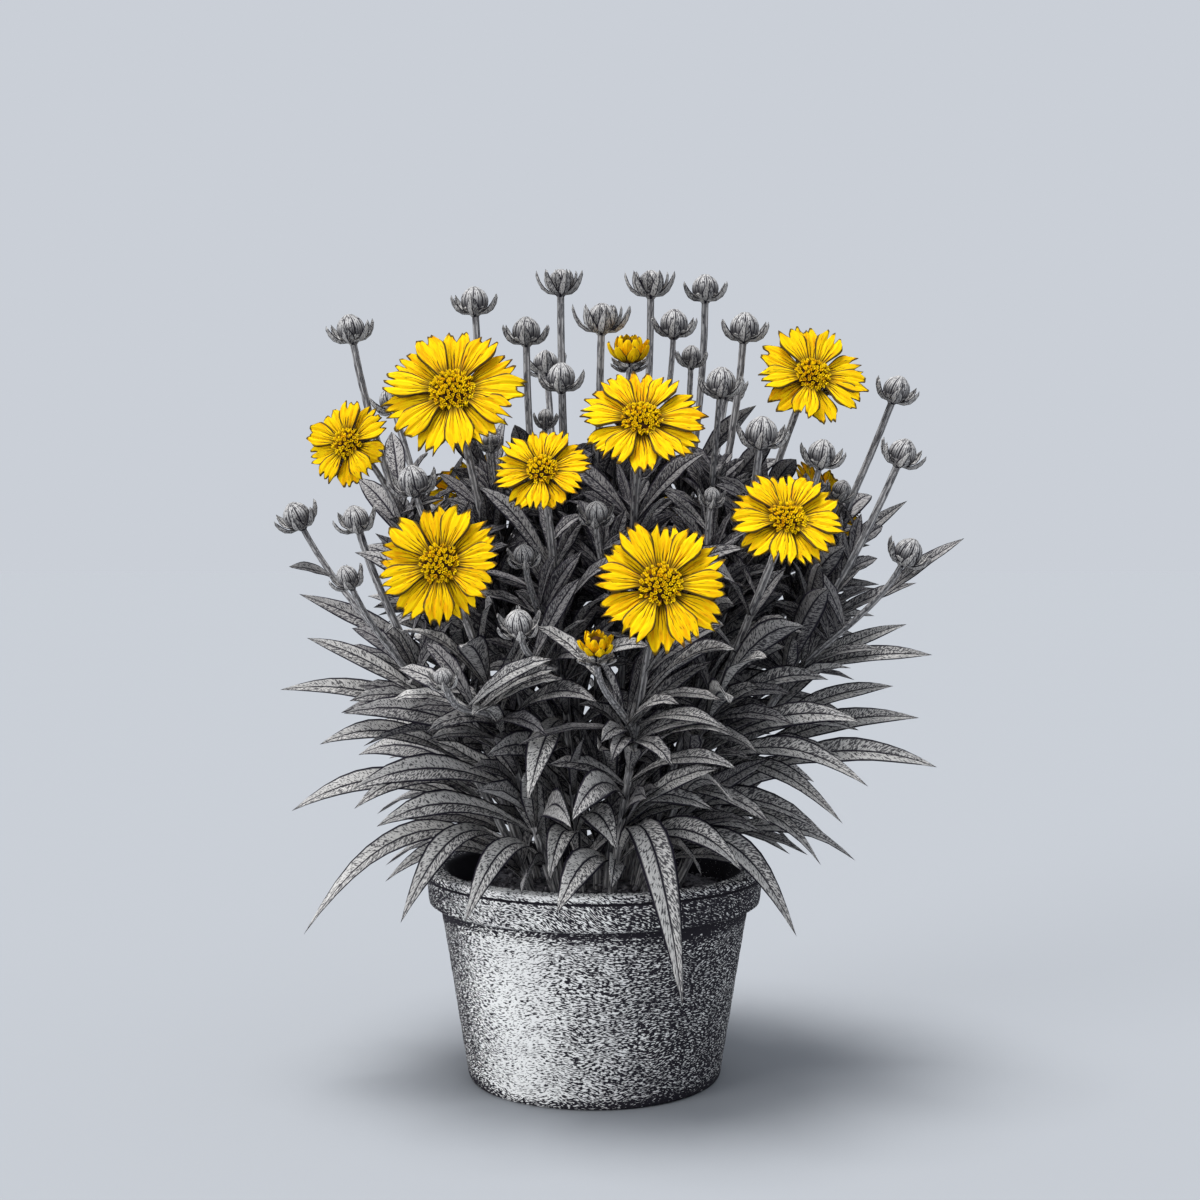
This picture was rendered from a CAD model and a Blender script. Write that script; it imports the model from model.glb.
"""A potted coreopsis: the looks of the pot, the soil, the leafy stems and the yellow blooms.

The plan of the plant is in millimetres, as it is measured on the bench; the meshes are in metres.
"""

import functools
import math
import random
from collections import namedtuple

import bmesh
import bpy
import numpy as np
from bpy.props import FloatProperty, FloatVectorProperty, IntProperty, PointerProperty
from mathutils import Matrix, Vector


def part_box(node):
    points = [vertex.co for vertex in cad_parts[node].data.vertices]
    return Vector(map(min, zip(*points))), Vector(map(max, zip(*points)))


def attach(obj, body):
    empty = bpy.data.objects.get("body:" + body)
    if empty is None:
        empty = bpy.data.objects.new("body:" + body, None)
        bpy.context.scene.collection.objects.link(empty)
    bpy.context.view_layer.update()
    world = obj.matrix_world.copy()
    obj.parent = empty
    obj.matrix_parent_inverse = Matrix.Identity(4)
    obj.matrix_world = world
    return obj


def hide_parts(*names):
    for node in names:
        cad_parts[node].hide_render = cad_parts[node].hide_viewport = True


bl_info = {
    "name": "Potted Coreopsis",
    "version": (1, 0, 0),
    "blender": (4, 5, 0),
    "location": "View3D > Sidebar > Coreopsis",
    "description": "Models a flowering coreopsis in its clay pot",
    "category": "Object",
}

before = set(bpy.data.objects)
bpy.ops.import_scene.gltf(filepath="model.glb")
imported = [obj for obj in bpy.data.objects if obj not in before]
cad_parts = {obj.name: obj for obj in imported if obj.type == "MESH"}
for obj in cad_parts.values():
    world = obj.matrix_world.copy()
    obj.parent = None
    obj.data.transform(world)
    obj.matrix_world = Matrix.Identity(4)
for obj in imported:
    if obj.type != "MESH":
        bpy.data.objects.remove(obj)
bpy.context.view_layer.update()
POT_LOW, POT_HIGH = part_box("pot")
SOIL_LOW, SOIL_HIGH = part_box("soil")

MM = 0.001
UP = np.array([0.0, 0.0, 1.0])
TURN = 2 * math.pi

# ---- The plan of the plant, in millimetres ----
# Each stem lists its heads: the first on the main stalk, the others on side stalks.
# A head is [kind, x, y, z, width, lean, tilt, petals or bracts]: its middle, its width, the way it faces
# (lean is the turn from the front towards +X, tilt the rise above level, both in degrees).
STEMS = [
    [
        ["bud", -92, -50, 229, 9.5, -30, 65, 6],
        ["bud", -120, -20, 231, 10.5, -50, 60, 6],
        ["bud", -93, -66, 207, 7.7, -40, 60, 6],
    ],
    [["bud", -100, -8, 308, 11, -40, 76, 6], ["bloom", -97, -32, 260, 39, -22, 14, 10]],
    [["bloom", -56, -85, 212, 49, -6, 12, 11], ["bud", -54, -97, 171, 6.5, -20, 60, 6]],
    [["bloom", -55, -45, 279, 61, -4, 26, 13], ["bud", -69, -57, 243, 11, -30, 70, 6]],
    [["bud", -50, 2, 321, 11, -10, 80, 6], ["bud", -42, -20, 262, 6, -20, 76, 6]],
    [["bud", -29, 14, 310, 11.4, 0, 82, 6], ["bud", -20, -14, 272, 6, 10, 80, 6]],
    [["cup", -14, -5, 328, 10, 0, 84, 7], ["bud", -13, -36, 285, 10.5, 0, 76, 6]],
    [
        ["bloom", -19, -76, 246, 39, -4, 30, 11],
        ["bud", -26, -74, 215, 7.5, -10, 60, 6],
        ["bud", -27, -93, 190, 9.5, -10, 58, 6],
    ],
    [["cup", 3, -22, 310, 12, 10, 80, 7], ["opening", 14, -30, 294, 16, 0, 66, 6]],
    [["cup", 24, 18, 331, 11, 0, 84, 7], ["bud", 33, -2, 311, 11, 10, 80, 6]],
    [["bud", 48, 30, 331, 11, 0, 84, 6], ["bud", 41, 12, 300, 8, 10, 80, 6]],
    [["bloom", 18, -62, 266, 52, 2, 35, 12], ["bud", 1, -64, 231, 8.4, 0, 60, 6]],
    [["bloom", 24, -100, 204, 53, 4, 22, 12], ["opening", 1, -101, 181, 12, 0, 58, 6]],
    [["bud", 62, -4, 309, 11.6, 20, 80, 6], ["bud", 50, -36, 283, 11, 15, 76, 6]],
    [["bud", 65, -46, 262, 12, 15, 74, 6], ["bud", 45, -58, 238, 6, 10, 60, 6]],
    [["bloom", 88, -18, 288, 50, 12, 28, 11], ["bud", 90, -34, 255, 10.5, 30, 74, 6]],
    [["bloom", 72, -72, 228, 47, 6, 34, 11]],
    [["bud", 125, -2, 284, 10.5, 50, 66, 6], ["bud", 103, 2, 243, 7.5, 50, 66, 6]],
    [["bud", 123, -27, 256, 10.5, 50, 64, 6], ["bud", 123, -40, 216, 10.5, 60, 62, 6]],
    [["bloom", -58, 84, 243, 49, 214, 34, 12], ["bud", -88, 64, 222, 9.5, 230, 62, 6]],
    [["bud", -88, 34, 283, 11, 240, 72, 6]],
    [["bud", -22, 58, 302, 11, 200, 76, 6], ["bud", -12, 92, 262, 8, 190, 64, 6]],
    [["bloom", 30, 92, 232, 47, 166, 30, 12], ["bud", 8, 108, 205, 8, 180, 58, 6]],
    [["bud", 60, 66, 292, 11, 150, 72, 6]],
    [["bloom", 100, 50, 238, 46, 124, 30, 11], ["bud", 78, 84, 216, 8.5, 140, 60, 6]],
]
YELLOW = ("bloom", "opening")

# The leaves placed by hand: [stem, stalk of it, share of the way up, tip x, y, z, rise of the arch, width]
CHOSEN_LEAVES = [
    [2, 0, 0.12, -48, -79, 79, 36, 11],
    [7, 0, 0.1, -17, -67, 93, 32, 11],
    [12, 0, 0.12, 33, -84, 49, 79, 14],
    [12, 0, 0.14, 57, -64, 96, 30, 12],
    [7, 0, 0.36, -24, -90, 126, 22, 12],
    [0, 0, 0.12, -117, -32, 65, 52, 12],
    [0, 0, 0.14, -74, -60, 75, 42, 12],
    [0, 0, 0.08, -82, -44, 88, 28, 8],
    [0, 0, 0.22, -122, -25, 113, 30, 11],
    [0, 0, 0.25, -93, -52, 118, 26, 10],
    [1, 0, 0.26, -129, -12, 161, 18, 10],
    [0, 0, 0.34, -108, -42, 142, 20, 10],
    [1, 0, 0.36, -123, -2, 201, 6, 9],
    [0, 0, 0.5, -116, -24, 183, 8, 8],
    [0, 1, 0.76, -123, -24, 212, 2, 6],
    [18, 1, 0.72, 147, -34, 223, 3, 7],
    [17, 0, 0.6, 131, 4, 240, 4, 7],
    [18, 0, 0.6, 133, -8, 205, 5, 7],
    [17, 0, 0.36, 132, 8, 188, 8, 8],
    [18, 0, 0.5, 136, -26, 176, 6, 9],
    [18, 0, 0.36, 121, -22, 164, 8, 8],
    [17, 0, 0.24, 136, 2, 148, 16, 11],
    [18, 0, 0.26, 138, -28, 132, 18, 12],
    [16, 0, 0.3, 107, -48, 126, 26, 11],
    [15, 0, 0.2, 98, -40, 110, 28, 9],
    [18, 0, 0.14, 91, -30, 92, 34, 9],
    [16, 0, 0.12, 79, -54, 69, 44, 12],
    [16, 0, 0.46, 62, -92, 180, 10, 10],
    [12, 0, 0.5, 46, -98, 154, 8, 8],
    [12, 0, 0.34, 52, -92, 138, 14, 10],
    [2, 0, 0.42, -44, -92, 158, 12, 10],
]

RIM_RADIUS = POT_HIGH.x / MM
POT_HEIGHT = POT_HIGH.z / MM
SOIL_CROWN = SOIL_HIGH.z / MM
RIM_WALL = 9
POT_WALL = 6
POT_FLOOR = 8
SOIL_EDGE = 77  # top of the soil at the wall
SOIL_FLAT = 37  # the soil is level out to here

BURIED = 12  # length of stem under the soil
CROWN_SHARE = 0.24  # a foot stands this share of the way out to its head
FOOT_SPACING = 6.5
SPACING_ROUNDS = 60
STALK_STATIONS = [0, 0.35, 0.7, 0.88, 1]
STALK_LIFT = 0.42  # how far up the stalk its first bend is
LEAN_BACK = 0.06  # of the first bend towards the pot's axis, against the stalk's reach
BLOOM_BEND = 0.16  # length of the last bend under a bloom, against the stalk's
BUD_BEND = 0.3
FORK_AT = 0.42  # where a side stalk leaves the main one, as a share of its curve
SIDE_STALK = 0.8  # radius of a side stalk against a main one
STALK_TAPER = 0.88  # radius at the head against the foot
HEAD_SEAT = {"bloom": 4.6, "opening": 5, "bud": 4.2, "cup": 4.2}  # a head's neck behind its middle
STALK_SUNK = 1.2  # into the neck
DISC_SHARE = 0.27  # disc radius against bloom radius
PETAL_ROWS = (2.3, 0.9)  # height of the inner row of petals and of the outer one
PETAL_SPREAD = 0.7  # width of a petal against its share of the bloom's outline
PETAL_UNEVEN = 0.1  # how much shorter a petal may be than the longest
PETAL_SHIFT = 0.3  # how far a petal may be from its even place, in places
PETAL_OVERLAP = 1.2  # width of a finished petal against the plan's

LEAF_CEILING = 252  # no leaf that grows by a rule starts above this height
BACK_LEAVES = 24  # where the outside turns from the front to the back: root and tip added up, in Y
POT_CLEARANCE = 2.2
FLOOR_CLEARANCE = 12
SAMPLE_STEP = 3
SAMPLED_LENGTH = 0.94  # the sample rows of a leaf stay as wide from here to its tip
HEAD_STEP = 3.5
LEAST_RING = 2  # radius of the smallest ring of sample points in a head
HEAD_REACH = 0.95  # radius of a bud with its bracts against its width
CELL = 4.4
ROOT_ZONE = 10  # a leaf may touch its own stem within this distance of its root
SHADE_MIDDLE = (6, 6, 196)  # the foliage is darkest here, behind the blooms
SHADE_REACH = (122, 104, 112)
SHADED_TOP = 200  # leaves that end above this height are darker
SHADED = 0.4  # tone of a darker leaf against another one's

# The middle and reach of the egg that the small leaves fill, and of its dense part behind the front blooms
FOLIAGE_EGG = np.array([[6, 2, 122], [128, 104, 128]])
SCREEN_EGG = np.array([[12, 4, 214], [114, 62, 54]])

# The rules that the other leaves grow by. A pair of values is for the soil's height and for the ceiling.
# "first" and "step" are shares of the way up a stalk, and a leaf's slope, spread and turn are degrees.
Rule = namedtuple(
    "Rule",
    "rank seed within side_stalks levels first step tries clearance"
    " length rise width slope slope_draw spread turn_draw",
)
LEAF_RULES = [
    Rule(
        rank="main", seed=20, within=None, side_stalks=False,
        levels=7, first=0.13, step=0.085, tries=9, clearance=4.4,
        length=(80, 44), rise=(24, 5), width=(12.5, 9),
        slope=(2, 58), slope_draw=34, spread=52, turn_draw=50,
    ),
    Rule(
        rank="fill", seed=7, within=FOLIAGE_EGG, side_stalks=True,
        levels=21, first=0.1, step=0.038, tries=6, clearance=1.9,
        length=(56, 24), rise=(12, 3), width=(9.5, 5.5),
        slope=(14, 54), slope_draw=70, spread=70, turn_draw=120,
    ),
    Rule(
        rank="fill", seed=31, within=SCREEN_EGG, side_stalks=True,
        levels=26, first=0.42, step=0.018, tries=8, clearance=1.5,
        length=(36, 27), rise=(6, 2), width=(6.5, 5),
        slope=(10, 58), slope_draw=80, spread=60, turn_draw=240,
    ),
    Rule(
        rank="basal", seed=3, within=FOLIAGE_EGG, side_stalks=False,
        levels=12, first=0.06, step=0.016, tries=5, clearance=1.5,
        length=(66, 48), rise=(7, 4), width=(9, 8),
        slope=(56, 60), slope_draw=50, spread=90, turn_draw=180,
    ),
]
LEAST_LENGTH = 0.82  # of a leaf, as a share
LENGTH_DRAW = 0.3
TRY_TURN = 22  # degrees that each further try may turn more
TRY_SHRINK = 0.045  # share by which each further try is shorter
ROLL = (0.3, 1.7)  # how far a leaf's face turns to the side, against up
CHOSEN_LOOK = np.array([0.0, -1.0, 1.0])  # the way the leaves placed by hand face


def blend(low, high, share):
    return low + (high - low) * share


def unit(vectors):
    return vectors / np.linalg.norm(vectors, axis=-1, keepdims=True)


def radial(angle, radius, height):
    return np.array([radius * math.cos(angle), radius * math.sin(angle), height])


def sideways(angle):
    """The way round the axis, where this angle points out from it."""
    return radial(angle + math.pi / 2, 1, 0)


def seeded(seed):
    """A source of draws from 0 to 1 that gives the same row of them for the same seed."""
    drawn = seed

    def draw():
        nonlocal drawn
        drawn = (drawn * 1664525 + 1013904223) % 2**32
        return drawn / 2**32

    return draw


# ---- Curves: a Bezier curve is the list of its control points ----
def point_on(curve, t):
    """The point at t on a curve, or a row of them where t is a row."""
    share = np.reshape(t, (-1, 1))
    points = list(curve)
    while len(points) > 1:
        points = [a + (b - a) * share for a, b in zip(points, points[1:])]
    return points[0] if np.ndim(t) else points[0][0]


def heading_on(curve, t):
    """The way a curve runs at t, as a unit vector."""
    return unit(point_on([b - a for a, b in zip(curve, curve[1:])], t))


def spaced_points(curve, step):
    """Points along a curve, this far apart or a little less."""
    t = np.linspace(0, 1, 201)
    chords = np.linalg.norm(np.diff(point_on(curve, t), axis=0), axis=1)
    reached = np.concatenate([[0], np.cumsum(chords)])
    count = math.ceil(reached[-1] / step)
    return point_on(curve, np.interp(np.linspace(0, reached[-1], count + 1), reached, t))


def on_stalk(curve, t):
    """A point on the straight runs between a stalk's stations."""
    k = next(k for k, station in enumerate(STALK_STATIONS) if station > t)
    low, high = STALK_STATIONS[k - 1], STALK_STATIONS[k]
    return blend(point_on(curve, low), point_on(curve, high), (t - low) / (high - low))


# ---- Growing the plant ----
class Head:
    """A bloom or a bud: its place, and the way it faces."""

    def __init__(self, kind, x, y, z, width, lean, tilt, count):
        turn, rise = math.radians(lean), math.radians(tilt)
        flat = math.cos(rise)
        self.kind, self.width, self.count = kind, width, count
        self.at = np.array([x, y, z], float)
        self.level = np.array([math.cos(turn), math.sin(turn), 0])
        self.faces = np.array([math.sin(turn) * flat, -math.cos(turn) * flat, math.sin(rise)])
        self.seat = self.at + self.faces * (STALK_SUNK - HEAD_SEAT[kind])


class Leaf:
    """A leaf from its root on a stalk to its tip, arched by `rise`. Its upper face `looks` this way."""

    def __init__(self, root, tip, rise, width, looks, rank):
        self.curve = [root, (root + tip) / 2 + UP * rise, tip]
        self.side = unit(np.cross(looks, tip - root))
        self.length = float(np.linalg.norm(tip - root))
        self.width, self.rank = width, rank

    def samples(self):
        """Three rows of points, on the midrib and near both edges."""
        count = math.ceil(self.length / SAMPLE_STEP)
        t = np.arange(1, count + 1) / count
        reach = self.side * (self.width / 2 * np.sin(np.pi * np.minimum(t, SAMPLED_LENGTH)))[:, None]
        middle = point_on(self.curve, t)
        return np.stack([middle, middle + reach, middle - reach], axis=1).reshape(-1, 3)


class Stem:
    """A main stalk and its side stalks, one for each head, with the leaves on them."""

    def __init__(self, heads, foot):
        self.heads = heads
        main = self.main_stalk(heads[0], foot)
        self.stalks = [main, *(self.side_stalk(main, head) for head in heads[1:])]
        self.leaves = []

    @staticmethod
    def main_stalk(head, foot):
        rise = head.seat - foot
        bend = BLOOM_BEND if head.kind in YELLOW else BUD_BEND
        lean_back = np.array([-rise[0], -rise[1], 0]) * LEAN_BACK
        turning = head.seat - head.faces * (bend * np.linalg.norm(rise))
        return [foot, foot + rise * STALK_LIFT + lean_back, turning, head.seat]

    @staticmethod
    def side_stalk(main, head):
        start = on_stalk(main, FORK_AT)
        reach = np.linalg.norm(head.seat - start) / 3
        return [start, start + heading_on(main, FORK_AT) * reach, head.seat - head.faces * reach, head.seat]


class Thicket:
    """The sample points of all that is placed, in cells, so that a new leaf can be kept clear of them."""

    def __init__(self):
        self.cells = {}

    def add(self, points, owner):
        for x, y, z in points.tolist():
            self.cells.setdefault((x // CELL, y // CELL, z // CELL), []).append((x, y, z, owner))

    def is_near(self, point, clearance, ignored_owner):
        x, y, z = point
        cell_x, cell_y, cell_z = x // CELL, y // CELL, z // CELL
        for i in (-1, 0, 1):
            for j in (-1, 0, 1):
                for k in (-1, 0, 1):
                    for px, py, pz, owner in self.cells.get((cell_x + i, cell_y + j, cell_z + k), ()):
                        gap = (px - x) ** 2 + (py - y) ** 2 + (pz - z) ** 2
                        if gap < clearance * clearance and owner != ignored_owner:
                            return True
        return False

    def has_room(self, points, root, clearance, owner):
        """Whether a leaf with these points is clear of the pot and of all that is placed."""
        for point in points.tolist():
            own = owner if math.dist(point, root) < ROOT_ZONE else None
            if not clear_of_pot(*point) or self.is_near(point, clearance, own):
                return False
        return True


def clear_of_pot(x, y, z):
    """Whether a leaf may pass here: over the soil, and above or outside the pot's lip."""
    out = math.hypot(x, y)
    if z > POT_HEIGHT + POT_CLEARANCE:
        return True
    if out > RIM_RADIUS + POT_CLEARANCE:
        return z > FLOOR_CLEARANCE
    return out < RIM_RADIUS - RIM_WALL - POT_CLEARANCE and z > SOIL_CROWN + POT_CLEARANCE


def fits_in(egg, points):
    return egg is None or np.linalg.norm((points - egg[0]) / egg[1], axis=1).max() < 1


def head_samples(head):
    """Points over a head: its middle, and rings out to its edge."""
    across = unit(np.cross(head.faces, [0.3, 0.5, 0.8]))
    other = np.cross(head.faces, across)
    points = [head.at]
    ring = head.width / 2 if head.kind == "bloom" else head.width * HEAD_REACH
    while ring > LEAST_RING:
        count = math.ceil(TURN * ring / HEAD_STEP)
        for k in range(count):
            angle = k / count * TURN
            points.append(head.at + across * (ring * math.cos(angle)) + other * (ring * math.sin(angle)))
        ring -= HEAD_STEP
    return np.array(points)


def spaced_feet(heads):
    """Where the stems stand in the soil: each a share of the way out to its head, then pushed apart."""
    feet = [head.at * [CROWN_SHARE, CROWN_SHARE, 0] + UP * (SOIL_CROWN - BURIED) for head in heads]
    for _ in range(SPACING_ROUNDS):
        for one in feet:
            for other in feet:
                apart = other - one
                distance = np.linalg.norm(apart)
                if other is not one and distance < FOOT_SPACING:
                    apart *= (FOOT_SPACING - distance) / 2 / distance
                    one -= apart
                    other += apart
    return feet


def outward_look(root, tip, roll):
    """Up, and by as much as `roll` to the side of a leaf that is outside of the plant."""
    level = unit(np.cross(UP, tip - root))
    inwards = level[0] * (root[0] + tip[0]) + level[1] * (root[1] + tip[1] - BACK_LEAVES) < 0
    return UP + level * (-roll if inwards else roll)


def ruled_leaf(rule, draw, root, hand, attempt):
    """One try at a leaf: further tries are shorter and turn further from where a leaf would rather be."""
    height = min(max((root[2] - SOIL_CROWN) / (LEAF_CEILING - SOIL_CROWN), 0), 1)
    outwards = math.atan2(root[1], root[0])
    swing = hand * rule.spread + (draw() - 0.5) * (rule.turn_draw + TRY_TURN * attempt)
    turn = outwards + math.radians(swing)
    slope = math.radians(blend(*rule.slope, height) + (draw() - 0.5) * rule.slope_draw)
    length = blend(*rule.length, height) * (LEAST_LENGTH + LENGTH_DRAW * draw()) * (1 - TRY_SHRINK * attempt)
    tip = root + radial(turn, length * math.cos(slope), length * math.sin(slope))
    looks = outward_look(root, tip, blend(*ROLL, draw()))
    return Leaf(root, tip, blend(*rule.rise, height), blend(*rule.width, height), looks, rule.rank)


def grow_pair(rule, draw, thicket, stem, owner, stalk, t):
    """A pair of leaves on a stalk, as far as there is room for them."""
    if point_on(stalk, t)[2] > LEAF_CEILING:
        return
    root = on_stalk(stalk, t)
    for hand in (-1, 1):
        for attempt in range(rule.tries):
            leaf = ruled_leaf(rule, draw, root, hand, attempt)
            points = leaf.samples()
            if fits_in(rule.within, points) and thicket.has_room(points, root, rule.clearance, owner):
                thicket.add(points, owner)
                stem.leaves.append(leaf)
                break


@functools.cache
def plant():
    """The stems of the plant, with their heads, stalks and leaves."""
    heads = [[Head(*row) for row in stem] for stem in STEMS]
    feet = spaced_feet([first for first, *_ in heads])
    stems = [Stem(row, foot) for row, foot in zip(heads, feet)]
    thicket = Thicket()
    for owner, stem in enumerate(stems):
        for stalk in stem.stalks:
            thicket.add(spaced_points(stalk, SAMPLE_STEP), owner)
        for head in stem.heads:
            thicket.add(head_samples(head), owner)
    for owner, stalk, t, x, y, z, rise, width in CHOSEN_LEAVES:
        root = on_stalk(stems[owner].stalks[stalk], t)
        leaf = Leaf(root, np.array([x, y, z], float), rise, width, CHOSEN_LOOK, "chosen")
        thicket.add(leaf.samples(), owner)
        stems[owner].leaves.append(leaf)
    for rule in LEAF_RULES:
        draw = seeded(rule.seed)
        for level in range(rule.levels):
            for owner, stem in enumerate(stems):
                t = rule.first + rule.step * (level + owner % 3 / 3)
                for stalk in stem.stalks if rule.side_stalks else stem.stalks[:1]:
                    grow_pair(rule, draw, thicket, stem, owner, stalk, t)
    return stems


# ---- Modelling helpers ----
def select_only(*pieces):
    """Selects these pieces and nothing else. The first one becomes active."""
    bpy.ops.object.select_all(action="DESELECT")
    for piece in pieces:
        piece.select_set(True)
    bpy.context.view_layer.objects.active = pieces[0]


def added(operator, **settings):
    """What an operator adds, with nothing else selected."""
    bpy.ops.object.select_all(action="DESELECT")
    operator(**settings)
    return bpy.context.object


def smooth(piece, bend):
    """Shades a piece smooth, but for edges that bend by more than this, in degrees."""
    select_only(piece)
    bpy.ops.object.shade_smooth_by_angle(angle=math.radians(bend))


def modify(piece, kind, **settings):
    """Puts a modifier on a piece and applies it."""
    bpy.context.view_layer.objects.active = piece
    bpy.ops.object.modifier_add(type=kind)
    modifier = piece.modifiers[-1]
    for name, value in settings.items():
        setattr(modifier, name, value)
    bpy.ops.object.modifier_apply(modifier=modifier.name)


class editing:
    """Edit mode on a piece. What is picked by its place is selected, and nothing else."""

    def __init__(self, piece):
        self.piece = piece

    def __enter__(self):
        select_only(self.piece)
        bpy.ops.object.mode_set(mode="EDIT")
        bpy.ops.mesh.select_mode(type="VERT")
        return self

    def __exit__(self, *_):
        bpy.ops.object.mode_set(mode="OBJECT")

    def pick(self, test):
        """Selects the corners whose place passes the test, with the edges and faces between them."""
        bpy.ops.mesh.select_all(action="DESELECT")
        shape = bmesh.from_edit_mesh(self.piece.data)
        for corner in shape.verts:
            corner.select = bool(test(corner.co))
        shape.select_flush(True)
        bmesh.update_edit_mesh(self.piece.data)

    def move(self, test, way):
        self.pick(test)
        bpy.ops.transform.translate(value=way)

    def resize(self, test, ratio, height=0):
        """Resizes what passes the test, from the middle at this height."""
        self.pick(test)
        bpy.ops.transform.resize(value=ratio, center_override=(0, 0, height))


def drawn_out(name, sides, stations, pointed=False):
    """A closed form drawn out of a ring along +Z. A station is [height, half width, half depth]."""
    piece = added(bpy.ops.mesh.primitive_circle_add, vertices=sides, radius=1, fill_type="NGON")
    piece.name = name
    height, width, depth = stations[0]
    with editing(piece):
        bpy.ops.transform.translate(value=(0, 0, height))
        bpy.ops.transform.resize(value=(width, depth, 1), center_override=(0, 0, height))
        for low, high in zip(stations, stations[1:]):
            bpy.ops.mesh.extrude_region_move(TRANSFORM_OT_translate={"value": (0, 0, high[0] - low[0])})
            ratio = (high[1] / low[1], high[2] / low[2], 1)
            bpy.ops.transform.resize(value=ratio, center_override=(0, 0, high[0]))
        if pointed:
            bpy.ops.mesh.merge(type="CENTER")
        bpy.ops.mesh.select_all(action="SELECT")
        bpy.ops.mesh.normals_make_consistent(inside=False)
    return piece


def lathed(name, sides, profile, pointed=False):
    """A round closed form with a profile of [height, radius]."""
    return drawn_out(name, sides, [(height, radius, radius) for height, radius in profile], pointed)


def corners_of(piece):
    """The places of a mesh's corners, as rows."""
    places = np.empty(len(piece.data.vertices) * 3, np.float32)
    piece.data.vertices.foreach_get("co", places)
    return places.reshape(-1, 3).astype(float)


def place_corners(piece, places):
    piece.data.vertices.foreach_set("co", np.ascontiguousarray(places, np.float32).ravel())
    piece.data.update()


def copied(piece, places):
    """A copy of a piece with its own mesh and its corners at these places, in metres."""
    twin = piece.copy()
    twin.data = piece.data.copy()
    place_corners(twin, places)
    bpy.context.scene.collection.objects.link(twin)
    return twin


def joined(name, pieces):
    """The pieces joined into one."""
    select_only(*pieces)
    bpy.ops.object.join()
    pieces[0].name = name
    pieces[0].data.name = name
    return pieces[0]


class Template:
    """A form that is modelled once and laid out many times.

    Each copy keeps the plain form's places as the attribute "form", which its patterns follow, a number
    of its own as "tone", and its length in millimetres as "run"."""

    def __init__(self, piece, finish, form=None):
        self.piece = piece
        self.places = corners_of(piece)
        mesh = piece.data
        mesh.materials.append(finish)
        mesh.attributes.new("form", "FLOAT_VECTOR", "POINT")
        mesh.attributes.new("tone", "FLOAT", "POINT")
        mesh.attributes.new("run", "FLOAT", "POINT")
        plain = self.places if form is None else form
        mesh.attributes["form"].data.foreach_set("vector", plain.astype(np.float32).ravel())
        smooth(piece, 50)

    def copy(self, places, tone, run=12.0):
        """A copy with its corners at these places, in millimetres."""
        piece = copied(self.piece, places * MM)
        for name, value in (("tone", tone), ("run", run)):
            piece.data.attributes[name].data.foreach_set("value", np.full(len(places), value, np.float32))
        return piece

    def remove(self):
        bpy.data.objects.remove(self.piece)


def finish_piece(piece, slot, *nodes):
    """Puts a finished piece on the plant's body, in place of CAD nodes."""
    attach(piece, "root")
    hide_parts(*nodes)


def numbered_nodes(kind, count):
    """The names of the CAD nodes of one kind, in order. Each thing on the plan has its own."""
    nodes = sorted(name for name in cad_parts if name.startswith(kind))
    if len(nodes) != count:
        raise RuntimeError(f"the plan has {count} of {kind} and the frame has {len(nodes)}")
    return nodes


def laid_along(places, curve, side, half_width, thickness, cup=0.0, wave=0.0, phase=0.0, curl=0.0, twist=0.0):
    """A flat form laid along a curve: its Z runs along it, X to the side and Y to the upper face."""
    x, y, z = places.T
    forward = heading_on(curve, z)
    lift = unit(np.cross(forward, side))
    turn = (twist * z)[:, None]
    across = side * np.cos(turn) + lift * np.sin(turn)
    upper = lift * np.cos(turn) - side * np.sin(turn)
    ripple = np.sin(TURN * 2.2 * z + phase + np.sign(x)) * np.sin(np.pi * z)
    raised = thickness * y + half_width * np.abs(x) ** 1.5 * (cup + wave * ripple) + curl * z**4
    return point_on(curve, z) + across * (half_width * x)[:, None] + upper * raised[:, None]


def tube_along(places, curve, side, radius, taper):
    """A round form laid along a curve, from its full radius to this share of it."""
    x, y, z = places.T
    forward = heading_on(curve, z)
    lift = unit(np.cross(forward, side))
    level = np.cross(lift, forward)
    reach = radius * blend(1, taper, z)
    return point_on(curve, z) + level * (reach * x)[:, None] + lift * (reach * y)[:, None]


def turned_to(head, places):
    """Places of a head that is made facing +Z at the origin, brought to where it sits."""
    turn = Vector(UP).rotation_difference(Vector(head.faces)).to_matrix()
    return places @ np.array(turn, float).T + head.at


# ---- Finishes ----
class Value:
    """A socket that can be reckoned with: an expression on values adds its Math nodes."""

    def __init__(self, finish, socket):
        self.finish = finish
        self.socket = socket

    def math(self, operation, *others):
        return self.finish.node("ShaderNodeMath", {"operation": operation}, dict(enumerate((self, *others))))

    def __add__(self, other):
        return self.math("ADD", other)

    def __sub__(self, other):
        return self.math("SUBTRACT", other)

    def __rsub__(self, other):
        return self.finish.node("ShaderNodeMath", {"operation": "SUBTRACT"}, {0: other, 1: self})

    def __mul__(self, other):
        return self.math("MULTIPLY", other)

    def __abs__(self):
        return self.math("ABSOLUTE")

    __radd__ = __add__
    __rmul__ = __mul__

    def folded(self, length):
        """Rises and falls between 0 and this length."""
        return self.math("PINGPONG", length)

    def or_else(self, other):
        """The larger of two masks."""
        return self.math("MAXIMUM", other)

    def between(self, low, high):
        """0 at low and 1 at high, with soft ends."""
        limits = {"Value": self, "From Min": low, "From Max": high}
        return self.finish.node("ShaderNodeMapRange", {"interpolation_type": "SMOOTHSTEP"}, limits)


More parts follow.
